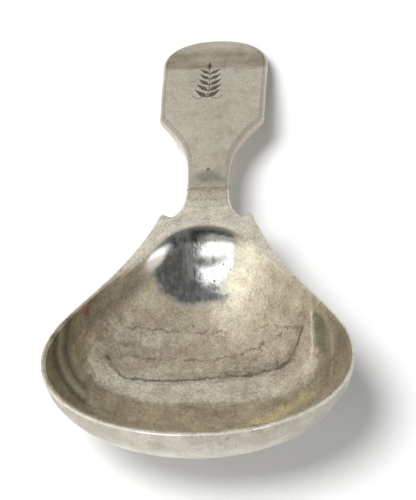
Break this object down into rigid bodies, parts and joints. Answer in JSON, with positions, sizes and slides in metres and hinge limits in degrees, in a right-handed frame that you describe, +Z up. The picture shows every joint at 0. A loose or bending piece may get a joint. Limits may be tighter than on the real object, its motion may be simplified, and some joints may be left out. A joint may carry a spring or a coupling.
{
  "type": "caddy spoon",
  "caption": "Short silver spoon for dry tea: wide shield-shaped bowl with a flat land and pointed shoulders, on a fiddle handle with a rounded end.",
  "frame": {"origin": "the point where the bowl rests on the table, in the middle of its worn flat", "axes": "+Z up from the table, +Y from the bowl to the end of the handle, +X to the right; the spoon is symmetric about X = 0"},
  "size_m": [0.042, 0.0822, 0.0171],
  "materials": {
    "bowl_silver": "worn and tarnished silver, satin",
    "handle_silver": "worn and tarnished silver, satin",
    "solder_silver": "dressed silver solder, dull"
  },
  "bodies": {
    "root": {"bowl": "bowl_silver", "handle": "handle_silver", "solder_seam": "solder_silver"}
  },
  "joints": []
}
